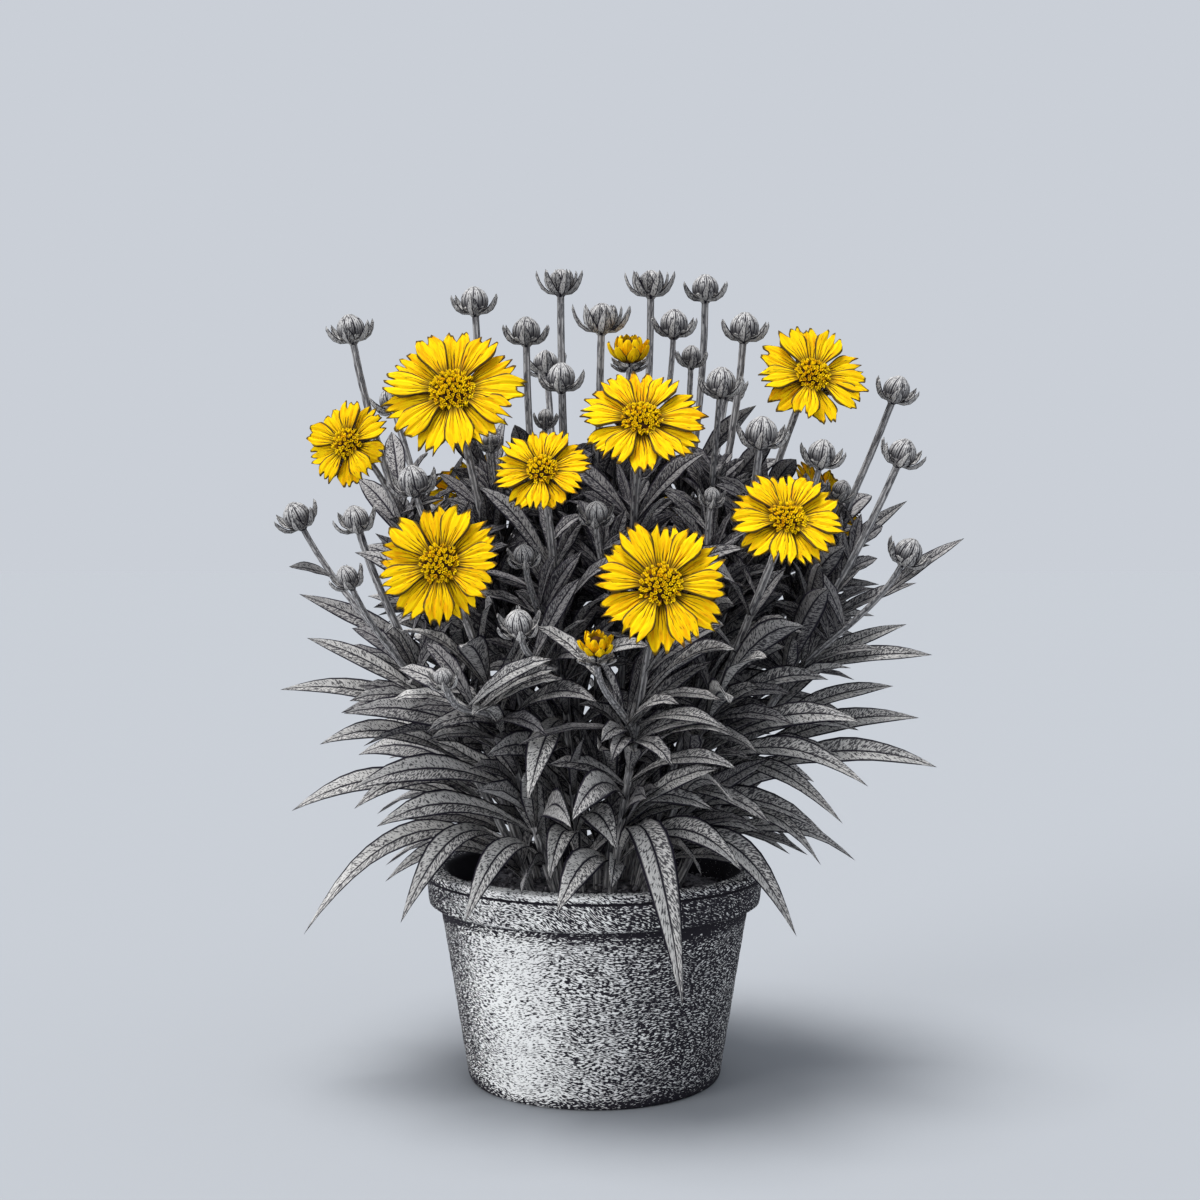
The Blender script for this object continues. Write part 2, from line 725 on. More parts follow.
class Finish:
    """A procedural material."""

    def __init__(self, name, roughness=0.8, gloss=0.1):
        self.material = bpy.data.materials.new(name)
        self.material.use_nodes = True
        self.tree = self.material.node_tree
        self.shader = self.tree.nodes["Principled BSDF"]
        self.shader.inputs["Roughness"].default_value = roughness
        self.shader.inputs["Specular IOR Level"].default_value = gloss

    def node(self, kind, settings, inputs, output=0):
        """Adds a node, with its settings first and then the values or links of its sockets."""
        made = self.tree.nodes.new(kind)
        for name, value in settings.items():
            setattr(made, name, value)
        for key, value in inputs.items():
            if isinstance(value, Value):
                self.tree.links.new(value.socket, made.inputs[key])
            else:
                made.inputs[key].default_value = value
        return Value(self, made.outputs[output])

    def attribute(self, name, output):
        return self.node("ShaderNodeAttribute", {"attribute_name": name}, {}, output)

    def place(self):
        """The place on the object, in metres."""
        return self.node("ShaderNodeTexCoord", {}, {}, "Object")

    def parts(self, vector):
        return [self.node("ShaderNodeSeparateXYZ", {}, {0: vector}, output) for output in "XYZ"]

    def combined(self, x, y, z):
        return self.node("ShaderNodeCombineXYZ", {}, {"X": x, "Y": y, "Z": z})

    def vector(self, operation, *inputs):
        return self.node("ShaderNodeVectorMath", {"operation": operation}, dict(enumerate(inputs)))

    def number(self, operation, *inputs):
        """A sum on vectors that gives one number."""
        return self.node("ShaderNodeVectorMath", {"operation": operation}, dict(enumerate(inputs)), "Value")

    def noise(self, vector, scale=1.0, detail=2.0, roughness=0.5):
        inputs = {"Vector": vector, "Scale": scale, "Detail": detail, "Roughness": roughness}
        return self.node("ShaderNodeTexNoise", {}, inputs)

    def mix(self, factor, low, high):
        """Two colours mixed."""
        return self.node("ShaderNodeMix", {"data_type": "RGBA"}, {0: factor, 6: rgba(low), 7: rgba(high)}, 2)

    def wears(self, colour, bump=None, distance=0.0003):
        """Links what the shader shows, and gives back the material."""
        self.tree.links.new(colour.socket, self.shader.inputs["Base Color"])
        if bump is not None:
            raised = self.node("ShaderNodeBump", {}, {"Strength": 0.6, "Distance": distance, "Height": bump})
            self.tree.links.new(raised.socket, self.shader.inputs["Normal"])
        return self.material


class FormFinish(Finish):
    """A finish for a template's copies: it follows the plain form, and each copy has a tone of its own."""

    def __init__(self, name, **settings):
        super().__init__(name, **settings)
        self.form = self.attribute("form", "Vector")
        self.tone = self.attribute("tone", "Fac")

    def grain(self, scales, shift, detail=2.0, roughness=0.5):
        """Noise over the form, stretched by these scales and in another place for each tone."""
        moved = self.tone * shift
        stretched = self.vector("MULTIPLY", self.form, scales)
        way = self.vector("ADD", stretched, self.combined(moved, moved, moved))
        return self.noise(way, detail=detail, roughness=roughness)


def rgba(colour):
    """A colour as a socket takes it; a value stays as it is."""
    return colour if isinstance(colour, Value) else (*colour, 1)


def dome_share(finish):
    """How far out a place lies in the foliage: 0 in its dark middle, 1 at its lit outside."""
    middle, reach = (tuple(size * MM for size in sizes) for sizes in (SHADE_MIDDLE, SHADE_REACH))
    from_middle = finish.vector("SUBTRACT", finish.place(), middle)
    return finish.number("LENGTH", finish.vector("DIVIDE", from_middle, reach))


def leaf_finish(look):
    """Pale, inked with short slanting strokes from the rib to the dark margins, closer deep in the plant."""
    finish = FormFinish("leaf")
    across, _, along = finish.parts(finish.form)
    half, side = abs(across), across.between(-0.02, 0.02)
    run = along * finish.attribute("run", "Fac")
    way = finish.combined(half * 8.5 - run * 1.45, half * 2.0 + run * 0.5, finish.tone * 61.0 + side * 5.0)
    strokes = finish.noise(way, detail=3.0, roughness=0.6)
    shade = dome_share(finish).between(0.35, 1.0)
    threshold = 0.455 + (1 - shade) * 0.05 + side * 0.05
    inked = 1 - (strokes - threshold).between(-0.03, 0.03)
    rib = 1 - half.between(0.03, 0.13)
    margin = half.between(0.76, 0.9)
    pale = finish.mix(finish.tone, look.leaf_dark, look.leaf_pale)
    deep = finish.mix(shade * 0.45 + 0.55, look.ink, pale)
    drawn = rib.or_else(margin).or_else(inked * 0.88)
    return finish.wears(finish.mix(drawn, deep, look.ink), bump=strokes + rib * -0.8)


def stalk_finish(look):
    """Ridged, dark in its grooves and dashed along its length."""
    finish = FormFinish("stalk")
    x, y, _ = finish.parts(finish.form)
    out = finish.number("LENGTH", finish.combined(x, y, 0.0))
    dashes = finish.grain((2.4, 2.4, 42.0), 53.0, detail=3.0, roughness=0.6)
    groove = 1 - out.between(0.80, 0.93)
    drawn = groove.or_else(dashes.between(0.46, 0.6))
    shade = dome_share(finish).between(0.2, 0.9)
    pale = finish.mix(shade * 0.5 + 0.5, look.ink, look.stalk_pale)
    return finish.wears(finish.mix(drawn * 0.85, pale, look.ink), bump=dashes)


def bud_finish(look):
    """The closed ball of a bud: overlapping segments finely lined from end to end, darker low down."""
    finish = FormFinish("bud")
    x, y, z = finish.parts(finish.form)
    turns = y.math("ARCTAN2", x) * (1 / TURN)
    grain = finish.grain((5.0, 5.0, 3.0), 29.0, detail=3.0, roughness=0.7)
    seam = 1 - (turns * BUD_LOBES).folded(0.5).between(0.03, 0.16)
    lines = 1 - (turns * (4.0 * BUD_LOBES) + (grain - 0.5) * 0.6).folded(0.5).between(0.04, 0.26)
    low = 1 - z.between(-0.4, 0.6)
    fine = (lines * (grain + low * 0.14).between(0.38, 0.52)).or_else(grain.between(0.52, 0.64) * 0.9)
    drawn = seam.or_else(fine).or_else(low * 0.8)
    return finish.wears(finish.mix(drawn, look.bud_pale, look.ink), bump=grain + lines * -0.6)


def petal_finish(look):
    """Clear yellow with orange streaks, ink lines that fan out of its dark foot, and a dark margin."""
    finish = FormFinish("petal", roughness=0.7, gloss=0.02)
    across, _, along = finish.parts(finish.form)
    streaks = finish.grain((5.5, 1.0, 3.0), 71.0, detail=3.0, roughness=0.6)
    specks = finish.grain((13.0, 1.0, 4.5), 43.0).between(0.62, 0.7)
    wander = finish.grain((1.5, 0.0, 2.5), 17.0) - 0.5
    lines = (across * 3.2 + wander * 1.8).folded(0.5)
    fan = 1 - (lines + (along + wander * 0.7).between(0.1, 0.9) * 0.31).between(0.1, 0.26)
    foot = 1 - along.between(0.16, 0.34)
    sides = (abs(across) + wander * 0.08).between(0.84, 0.93)
    end = (along + (streaks - 0.5) * 0.14).between(0.91, 0.965)
    warm = finish.mix(streaks.between(0.42, 0.66), look.petal_yellow, look.petal_orange)
    lit = finish.mix(finish.tone * 0.4, warm, look.petal_light)
    browned = finish.mix(fan.or_else(foot * 0.8).or_else(specks * 0.75) * 0.92, lit, look.petal_brown)
    return finish.wears(finish.mix(sides.or_else(end) * 0.9, browned, look.ink), bump=streaks + fan * -1.0)


def floret_finish(look):
    """Yellow and orange tips over dark feet, with dark specks."""
    finish = FormFinish("floret", roughness=0.7, gloss=0.02)
    _, _, along = finish.parts(finish.form)
    grain = finish.grain((2.4, 2.4, 2.4), 47.0)
    tip = finish.mix((finish.tone + grain - 0.5).between(-0.3, 0.5), look.petal_orange, look.petal_light)
    foot = finish.mix(finish.tone * 0.5, look.petal_brown, look.petal_orange)
    bright = (along + (grain - 0.5) * 0.9).between(0.45, 0.9) * grain.between(0.34, 0.42)
    return finish.wears(finish.mix(bright, foot, tip), bump=grain)


def clay_finish(look):
    """Fired clay, marked all over with short dark dashes that run round it, and worn clear in one band."""
    finish = Finish("clay", roughness=0.85)
    place = finish.place()
    x, y, z = finish.parts(place)
    top, collar, inner = POT_HIGH.z, POT_HIGH.z - look.rim_band, POT_HIGH.x - RIM_WALL * MM
    on_collar = z.between(collar - 0.0004, collar + 0.0004)
    wavy = finish.combined(x, y, z + x * 0.38 * on_collar + finish.noise(place, 38.0) * 0.012)
    dashes = finish.noise(finish.vector("MULTIPLY", wavy, (660.0, 660.0, 2600.0)), detail=1.0)
    cloud = finish.noise(place, 55.0, 3.0)
    level = finish.combined(x, y, 0.0)
    out = finish.vector("NORMALIZE", level)
    worn, dark = (finish.number("DOT_PRODUCT", out, tuple(way)) for way in (look.worn_side, look.dark_side))
    fewer = worn.between(0.25, 0.95) * 0.1 + worn.between(0.88, 1.0) * (1 - on_collar * 0.5) * 0.08
    inside = (1 - finish.number("LENGTH", level).between(inner, inner + 0.003)) * on_collar
    lip = z.between(top - 0.002, top - 0.0014) * (1 - inside)
    under_collar = z.between(collar - 0.008, collar) * (1 - on_collar)
    groove = z.between(top - 0.004, top - 0.0034) * (1 - z.between(top - 0.003, top - 0.0026))
    more = under_collar * 0.17 + groove * 0.3 + inside * 0.1 + (1 - z.between(0.001, 0.006)) * 0.12
    more = more + dark.between(0.55, 0.9) * 0.085 + on_collar * 0.034 + (cloud - 0.5) * 0.05
    clear = (dashes - (more - fewer - lip * 0.08 + 0.6)).between(-0.045, 0.045)
    stain = finish.mix(cloud.between(0.35, 0.7), look.clay_pale, look.clay_dark)
    return finish.wears(finish.mix(clear, look.dash, stain), bump=dashes + cloud, distance=0.0004)


def earth_finish(look):
    """Dark, crumbly, with pale grit."""
    finish = Finish("earth", roughness=0.95)
    place = finish.place()
    crumbs = finish.noise(place, 420.0, 4.0, 0.7)
    grit = finish.noise(place, 900.0).between(0.64, 0.74) * 0.6
    brown = finish.mix(crumbs.between(0.35, 0.65), look.earth_dark, look.earth_pale)
    return finish.wears(finish.mix(grit, brown, look.grit), bump=crumbs, distance=0.001)


def floor_finish(look):
    """A plain pale matt floor."""
    finish = Finish("floor", roughness=1.0, gloss=0)
    cloud = finish.noise(finish.place(), 3.0)
    return finish.wears(finish.mix(cloud, tuple(0.995 * part for part in look.floor), look.floor))


# ---- What a user may change ----
def colour(name, description, default):
    limits = {"subtype": "COLOR", "size": 3, "min": 0, "max": 1}
    return FloatVectorProperty(name=name, description=description, default=default, **limits)


def length(name, description, default):
    limits = {"unit": "LENGTH", "min": 0, "precision": 4}
    return FloatProperty(name=name, description=description, default=default, **limits)


def strength(name, description, default):
    return FloatProperty(name=name, description=description, default=default, min=0)


def direction(name, description, default):
    return FloatVectorProperty(name=name, description=description, default=default, subtype="DIRECTION")


class StageLook(bpy.types.PropertyGroup):
    """The floor, the light and the camera."""

    floor: colour("Floor", "Colour of the floor", (0.3104, 0.323, 0.3416))
    air: colour("Air", "Colour of the light from all sides", (0.591, 0.624, 0.680))
    key: strength("Key light", "Strength of the high light", 3.8)
    side: strength("Side light", "Strength of the low light", 1.6)
    eye_height: length("Eye height", "Height of the camera over the floor", 0.21)
    eye_distance: length("Eye distance", "Distance of the camera from the pot's axis", 0.7)


class PotLook(bpy.types.PropertyGroup):
    """Sizes and colours of the pot."""

    rim_band: length("Collar height", "Height of the collar under the lip", 0.0145)
    rim_setback: length("Collar step", "How far the collar stands out from the body", 0.005)
    foot_radius: length("Foot radius", "Radius of the pot where it stands", 0.053)
    turning_mark: length("Turning marks", "Depth of the rings left by turning", 0.00012)
    clay_pale: colour("Pale clay", "The clay where it is lightest", (0.84, 0.84, 0.82))
    clay_dark: colour("Dark clay", "The clay where it is stained", (0.75, 0.745, 0.735))
    dash: colour("Dashes", "The dark dashes all over the clay", (0.02, 0.018, 0.024))
    worn_side: direction("Worn side", "Where the dashes are fewest", (-0.602, -0.799, 0))
    dark_side: direction("Dark side", "Where the dashes lie closer", (-1, 0, 0))


class SoilLook(bpy.types.PropertyGroup):
    """Sizes and colours of the soil."""

    crumbs: IntProperty(name="Crumbs", description="Number of loose crumbs", default=420, min=0, max=600)
    crumb_size: length("Crumb size", "Width of the largest crumbs", 0.0032)
    lumpiness: length("Lumpiness", "Height of the lumps in the surface", 0.0022)
    earth_dark: colour("Dark earth", "Damp earth", (0.05, 0.047, 0.055))
    earth_pale: colour("Pale earth", "Dry earth", (0.26, 0.25, 0.265))
    grit: colour("Grit", "Pale grit in the earth", (0.6, 0.58, 0.58))


class PlantLook(bpy.types.PropertyGroup):
    """Sizes and colours of the stems, leaves and buds."""

    stalk_radius: length("Stalk radius", "Radius of a main stalk at its foot", 0.0018)
    leaf_thickness: length("Leaf thickness", "Thickness of a leaf at its rib", 0.0008)
    leaf_pale: colour("Pale leaf", "The lightest leaves", (0.6, 0.585, 0.56))
    leaf_dark: colour("Dark leaf", "The darkest leaves", (0.25, 0.24, 0.24))
    stalk_pale: colour("Stalk", "The ridges of the stalks", (0.5, 0.49, 0.485))
    bud_pale: colour("Bud", "The buds between their lines", (0.5, 0.49, 0.48))
    ink: colour("Ink", "Ribs, margins and dashes", (0.014, 0.012, 0.02))


class BloomLook(bpy.types.PropertyGroup):
    """Sizes and colours of the blooms."""

    petal_thickness: length("Petal thickness", "Thickness of a petal", 0.0006)
    florets: IntProperty(name="Florets", description="Florets in a full disc", default=96, min=10, max=120)
    petal_yellow: colour("Yellow", "The petals", (0.8, 0.51, 0.003))
    petal_light: colour("Light yellow", "The lightest petals", (0.88, 0.62, 0.005))
    petal_orange: colour("Orange", "Streaks in the petals", (0.74, 0.31, 0.003))
    petal_brown: colour("Brown", "Lines at the foot of the petals", (0.06, 0.026, 0.01))
    ink: colour("Ink", "The margins of the petals", (0.03, 0.02, 0.015))


# ---- Templates: one unit long and one unit to each side, unless their sizes are in millimetres ----
NEAR = 0.001
LEAF_STATIONS = {"chosen": 13, "main": 9}
LEAF_TONES = {"main": (0.4, 1.0), "chosen": (0.8, 1.0), "fill": (0.0, 0.9), "basal": (0.1, 0.7)}
SMALL_LEAF_OUTLINE = [(0, 0.2), (0.25, 0.7), (0.5, 1), (0.78, 0.7)]
BRACT_OUTLINE = [(0, 0.6), (0.25, 0.85), (0.5, 1), (0.72, 0.8), (0.9, 0.4)]
BLADE_TIP = (1, 0.02, 0.1)  # of a blade, just before it closes
PETAL_WIDTHS = (0.22, 0.32, 0.5, 0.7, 0.87, 0.97, 1, 0.95, 0.82)  # from its foot to its end
PETAL_OUTLINE = [(k / 8, width) for k, width in enumerate(PETAL_WIDTHS)]
PLEAT_AT = 1 / 3  # of a petal's half width
PETAL_LINES = (-1, -0.833, -0.667, -0.5, -PLEAT_AT, -0.167, 0, 0.167, PLEAT_AT, 0.5, 0.667, 0.833, 1)
STALK_SIDES = 10
STALK_STEPS = 16
STALK_GROOVE = 0.84  # radius in a stalk's grooves
BUD_LOBES = 8
BUD_GROOVE = 0.88
BOWL_RADIUS = 5.5  # of the bud that the bowl is shaped for, in millimetres
BOWL = [(-5.0, 1.5), (-4.2, 2.2), (-3.2, 3.8), (-2.2, 4.9), (-1.2, 5.4), (-0.6, 5.1)]
BOWL_PATTERN = 0.12  # size of the bowl's pattern, against its millimetres
DOME = [(0, 1), (2.2, 0.97), (3.3, 0.78), (4.0, 0.5), (4.3, 0.2), (4.4, 0.02)]
FLORET = [(0, 0.5), (0.5, 0.6), (0.85, 1.0), (1, 0.9), (0.7, 0.4)]
FLORET_SIDES = 6


def leaf_outline(count):
    """Half widths of a lance-shaped leaf, widest past its middle, at this many stations."""
    stations = np.linspace(0, 0.92, count)
    widths = 0.15 * (1 - stations) + 0.95 * np.sin(math.pi * stations**1.3)
    return list(zip(stations.tolist(), widths.tolist()))


def every_second(at, sides):
    """Whether a corner is on every second line of a round form with this many sides."""
    return round(math.atan2(at.x, at.y) / TURN * sides) % 2


def blade_template(name, outline, finish):
    """A thin pointed blade with a groove along its upper side and a rib under it."""
    piece = drawn_out(name, 8, [(z, width, 0.5) for z, width in outline] + [BLADE_TIP], pointed=True)
    with editing(piece) as work:
        work.move(lambda at: abs(at.x) < NEAR and at.z < 1 - NEAR, (0, -0.55, 0))
    form = corners_of(piece)
    form[:, 0] /= np.interp(form[:, 2], *zip(*outline, (1, 1)))
    return Template(piece, finish, form)


def petal_template(finish):
    """A broad strap with two pleats, without its teeth."""
    piece = added(
        bpy.ops.mesh.primitive_grid_add,
        x_subdivisions=len(PETAL_LINES) - 1,
        y_subdivisions=len(PETAL_WIDTHS) - 1,
        size=2,
        rotation=(math.pi / 2, 0, 0),
    )
    bpy.ops.object.transform_apply(rotation=True)
    with editing(piece) as work:
        work.resize(lambda at: True, (1, 1, 0.5))
        bpy.ops.transform.translate(value=(0, 0, 0.5))
    modify(piece, "SOLIDIFY", thickness=1, offset=0)
    with editing(piece) as work:
        work.move(lambda at: abs(abs(at.x) - PLEAT_AT) < NEAR, (0, -0.8, 0))
        work.move(lambda at: abs(at.x) > 1 - NEAR, (0, -0.4, 0))
        form = np.array([tuple(corner.co) for corner in bmesh.from_edit_mesh(piece.data).verts])
        for height, width in PETAL_OUTLINE:
            work.resize(lambda at: abs(at.z - height) < NEAR, (width, 1, 1), height)
    return Template(piece, finish, form)


def stalk_template(finish):
    """A ridged tube."""
    piece = lathed("stalk_form", STALK_SIDES, [(step / STALK_STEPS, 1) for step in range(STALK_STEPS + 1)])
    with editing(piece) as work:
        work.resize(lambda at: every_second(at, STALK_SIDES), (STALK_GROOVE, STALK_GROOVE, 1))
    return Template(piece, finish)


def bud_template(finish):
    """A ball of overlapping segments, drawn to a low point."""
    piece = added(bpy.ops.mesh.primitive_uv_sphere_add, segments=4 * BUD_LOBES, ring_count=12, radius=1)
    with editing(piece) as work:
        work.resize(
            lambda at: abs(math.remainder(math.atan2(at.y, at.x) / TURN * BUD_LOBES, 1)) < NEAR,
            (BUD_GROOVE, BUD_GROOVE, 1),
        )
        work.move(lambda at: at.z > 0.94, (0, 0, 0.07))
    return Template(piece, finish)


def lathed_template(name, sides, profile, finish, pattern_size, pointed=False):
    """A round closed form. Its patterns follow its places times `pattern_size`."""
    piece = lathed(name, sides, profile, pointed)
    return Template(piece, finish, corners_of(piece) * pattern_size)


def floret_template(finish):
    """A little star: a tube whose every second top corner is drawn out."""

    def is_point(at):
        return min(at.z, math.hypot(at.x, at.y)) > 0.8 and every_second(at, FLORET_SIDES)

    piece = lathed("floret_form", FLORET_SIDES, FLORET)
    with editing(piece) as work:
        work.resize(is_point, (1.3, 1.3, 1))
        bpy.ops.transform.translate(value=(0, 0, 0.22))
    return Template(piece, finish)


# ---- The pieces ----
FULL_DISC = 6.5  # radius of the disc that the number of florets is for
FLORET_RADIUS = 0.64
TONGUES = 17  # pointed florets round a disc


def drawn_shape(draw, **limits):
    """How a leaf or a petal cups, waves, curls and twists, drawn between these limits."""
    return {name: draw.uniform(*pair) for name, pair in limits.items()}


def leaf_copy(template, leaf, thickness, draw):
    """A leaf, waved and turned a little each in its own way."""
    shape = drawn_shape(
        draw, cup=(0.1, 0.34), wave=(0.04, 0.14), phase=(0, TURN), curl=(-2.0, 0.5), twist=(-0.3, 0.3)
    )
    places = laid_along(template.places, leaf.curve, leaf.side, leaf.width / 2, thickness, **shape)
    tone = draw.uniform(*LEAF_TONES[leaf.rank])
    if leaf.curve[-1][2] > SHADED_TOP:
        tone *= SHADED
    return template.copy(places, tone, leaf.length)


def blades_round(template, head, count, route, half_width, thickness, draw, offset=0.5, tones=(0.3, 0.9)):
    """Blades round a head, each along a route of [radius, height] points."""
    pieces = []
    for k in range(count):
        angle = (k + offset + draw.uniform(-0.12, 0.12)) / count * TURN
        curve = [radial(angle, radius, height) for radius, height in route]
        places = laid_along(template.places, curve, sideways(angle), half_width, thickness, cup=0.3)
        pieces.append(template.copy(turned_to(head, places), draw.uniform(*tones)))
    return pieces


def bowl_copy(template, head, r, sunk, draw):
    """The bowl under a head that is round with this radius."""
    bowl = template.places * [r / BOWL_RADIUS, r / BOWL_RADIUS, 1] - UP * sunk
    return template.copy(turned_to(head, bowl), draw.random())


def bud_copies(forms, head, draw):
    """A closed bud in its bowl, with pointed outer bracts that curve out and up."""
    r = head.width / 2
    opened = head.kind == "cup"
    spin = draw.uniform(0, TURN)
    turned = np.array([[math.cos(spin), math.sin(spin), 0], [-math.sin(spin), math.cos(spin), 0], [0, 0, 1]])
    globe = forms["bud"].places @ turned * (r * (1.0 if opened else 1.06)) + UP * (0.25 * r)
    pieces = [bowl_copy(forms["bowl"], head, r, 0, draw)]
    pieces.append(forms["bud"].copy(turned_to(head, globe), draw.random()))
    out, up = (2.0, 1.2) if opened else (1.85, 0.8)
    route = [(0.4 * r, -3.4), (1.75 * r, -0.5 * r - 1.2), (out * r, up * r)]
    round_head = functools.partial(blades_round, forms["bract"], head, head.count, draw=draw, tones=(0.5, 1))
    pieces += round_head(route, 0.5 * r, 0.7)
    if opened:
        inner = [(0.7 * r, -1.5), (1.4 * r, -0.1 * r), (1.25 * r, 1.2 * r)]
        pieces += round_head(inner, 0.5 * r, 0.6, offset=0)
    return pieces


def involucre_copies(forms, head, draw):
    """The green cup under a bloom: a bowl, bracts pressed to it, and spreading outer bracts."""
    r = max(head.width / 2 * DISC_SHARE, 3.4)
    count, out, up = (6, r + 5, -0.2) if head.kind == "opening" else (8, r + 7, -1.7)
    outer = [(1.8, -4.3), (r + 1.5, -4.2), (out, up)]
    inner = [(0.6 * r, -3.0), (r + 1.2, -2.8), (r + 3.2, -0.8)]
    pieces = [bowl_copy(forms["bowl"], head, r, 0.1, draw)]
    pieces += blades_round(forms["bract"], head, count, outer, 1.9, 0.7, draw)
    pieces += blades_round(forms["bract"], head, count, inner, 2.4, 0.6, draw, offset=0)
    return pieces


def petal_copy(template, head, curve, angle, half_width, thickness, draw):
    """A petal with its own teeth, two or three, cut deep into its end."""
    left, middle, right = (draw.uniform(0, 0.06) for _ in range(3))
    first, second = draw.uniform(0.16, 0.32), draw.uniform(0.16, 0.32)
    if draw.random() < 0.3:
        short = (0.26, 0.12, 0.04, 0.02, 0.05, 0.12, first, 0.12, 0.05, 0.02, 0.05, 0.13, 0.28)
    else:
        short = (0.26, 0.12, 0.02, 0.1, first, 0.09, 0, 0.1, second, 0.1, 0.03, 0.13, 0.28)
    ragged = np.array([draw.uniform(-0.05, 0.07) for _ in PETAL_LINES])
    lowered = np.array(short) + ragged + np.interp(PETAL_LINES, (-1, 0, 1), (left, middle, right))
    places = template.places.copy()
    widths = np.interp(places[:, 2], *zip(*PETAL_OUTLINE))
    cut = np.interp(places[:, 0] / widths, PETAL_LINES, np.maximum(lowered, 0))
    places[:, 2] *= 1 - cut * places[:, 2] ** 2
    shape = drawn_shape(
        draw, cup=(-0.06, 0.16), wave=(0, 0.08), phase=(0, TURN), curl=(-1.6, 1.2), twist=(-0.22, 0.22)
    )
    bent = laid_along(places, curve, sideways(angle), half_width, thickness, **shape)
    return template.copy(turned_to(head, bent), draw.random())


def petal_row(template, head, first, height, uneven, thickness, draw):
    """Every second petal of a bloom, from this place."""
    reach = head.width / 2
    half_width = reach * math.pi * PETAL_SPREAD / head.count * PETAL_OVERLAP
    lifted = 0 if first else 0.6
    pieces = []
    for place in range(first, head.count, 2):
        angle = (place + (uneven() - 0.5) * PETAL_SHIFT) / head.count * TURN
        end = reach * (1 - PETAL_UNEVEN * uneven())
        route = [(reach * DISC_SHARE * 0.5, height), (reach * 0.6, 2.3 * height), (end, height + lifted)]
        curve = [radial(angle, *point) for point in route]
        pieces.append(petal_copy(template, head, curve, angle, half_width, thickness, draw))
    return pieces


def disc_copies(forms, head, look, draw):
    """The middle of a bloom: florets in a spiral over a dome, and a ring of pointed ones round it."""
    disc = head.width / 2 * DISC_SHARE * 0.9
    pieces = [forms["dome"].copy(turned_to(head, forms["dome"].places * [disc, disc, 1]), 0)]
    count = round(look.florets * min((disc / FULL_DISC) ** 2, 1.4))
    golden = math.pi * (3 - math.sqrt(5))
    floret = forms["floret"]
    for k in range(count):
        share = math.sqrt((k + 0.5) / count) * draw.uniform(0.95, 1.04)
        angle = k * golden + draw.uniform(-0.2, 0.2)
        tilt = share * 1.05
        foot = radial(angle, disc * share, 3.9 - 2.4 * share**2)
        way = radial(angle, math.sin(tilt), math.cos(tilt))
        tall = draw.uniform(1.2, 2.3) + 0.5 * share
        places = tube_along(floret.places, [foot, foot + way * tall], sideways(angle), FLORET_RADIUS, 1)
        pieces.append(floret.copy(turned_to(head, places), draw.random()))
    route = [(0.7 * disc, 2.2), (1.0 * disc, 4.2), (1.28 * disc, 3.3)]
    return pieces + blades_round(forms["tongue"], head, TONGUES, route, 0.85, 0.6, draw, tones=(0, 1))


def opening_copies(forms, head, draw):
    """A bloom that is still opening: upright petals round a knob of furled ones."""
    r = head.width / 2
    outer = [(0.4 * r, 0.3), (1.05 * r, 0.3 * r), (1.02 * r, r)]
    inner = [(0.35 * r, 0.4), (0.75 * r, 0.7 * r), (0.42 * r, 1.22 * r)]
    pieces = []
    for route, offset in ((outer, 0.5), (inner, 0)):
        pieces += blades_round(forms["furled"], head, 7, route, 0.36 * r, 0.8, draw, offset, tones=(0, 1))
    knob = forms["dome"].places * [0.5 * r, 0.5 * r, 0.24 * r]
    return pieces + [forms["dome"].copy(turned_to(head, knob), 0)]


def pot_profile(look):
    """The pot from the foot up the outside, over the lip and down the inside: [height, radius]."""
    setback, band, foot = look.rim_setback, look.rim_band, look.foot_radius
    lip, foot_round, body_rings, inner_rings = 0.0016, 0.004, 30, 6
    top, rim = POT_HIGH.z, POT_HIGH.x
    collar, bead, inner = top - band, top - 0.004, rim - RIM_WALL * MM
    quarter = [k / 4 * math.pi / 2 for k in range(5)]
    profile = [(foot_round * (1 - math.cos(a)), foot - foot_round * (1 - math.sin(a)) / 2) for a in quarter]
    for k in range(1, body_rings + 1):
        mark = look.turning_mark * math.sin(k * 2.3) * math.sin(k * 0.9 + 1)
        height = blend(foot_round, collar - 0.0012, k / body_rings)
        profile.append((height, blend(foot, rim - setback - 0.001, k / body_rings) + mark))
    profile.append((collar - 0.0004, rim - setback - 0.0004))
    profile += [(collar, rim - 0.0024), (collar + 0.0008, rim - 0.0013)]
    profile += [(blend(collar, bead, k / 4), blend(rim - 0.0012, rim - 0.0002, k / 4)) for k in range(1, 5)]
    profile += [(bead + 0.0004, rim - 0.0003), (bead + 0.0008, rim - 0.0008), (bead + 0.0012, rim - 0.0001)]
    profile.append((top - lip, rim))
    profile += [(top - lip + lip * math.sin(a), rim - lip + lip * math.cos(a)) for a in quarter[1:]]
    profile += [(top - lip + lip * math.cos(a), inner + lip - lip * math.sin(a)) for a in quarter]
    depth = top - lip - POT_FLOOR * MM
    for k in range(1, inner_rings + 1):
        radius = blend(inner, foot - POT_WALL * MM, k / inner_rings)
        profile.append((top - lip - depth * k / inner_rings, radius))
    return profile


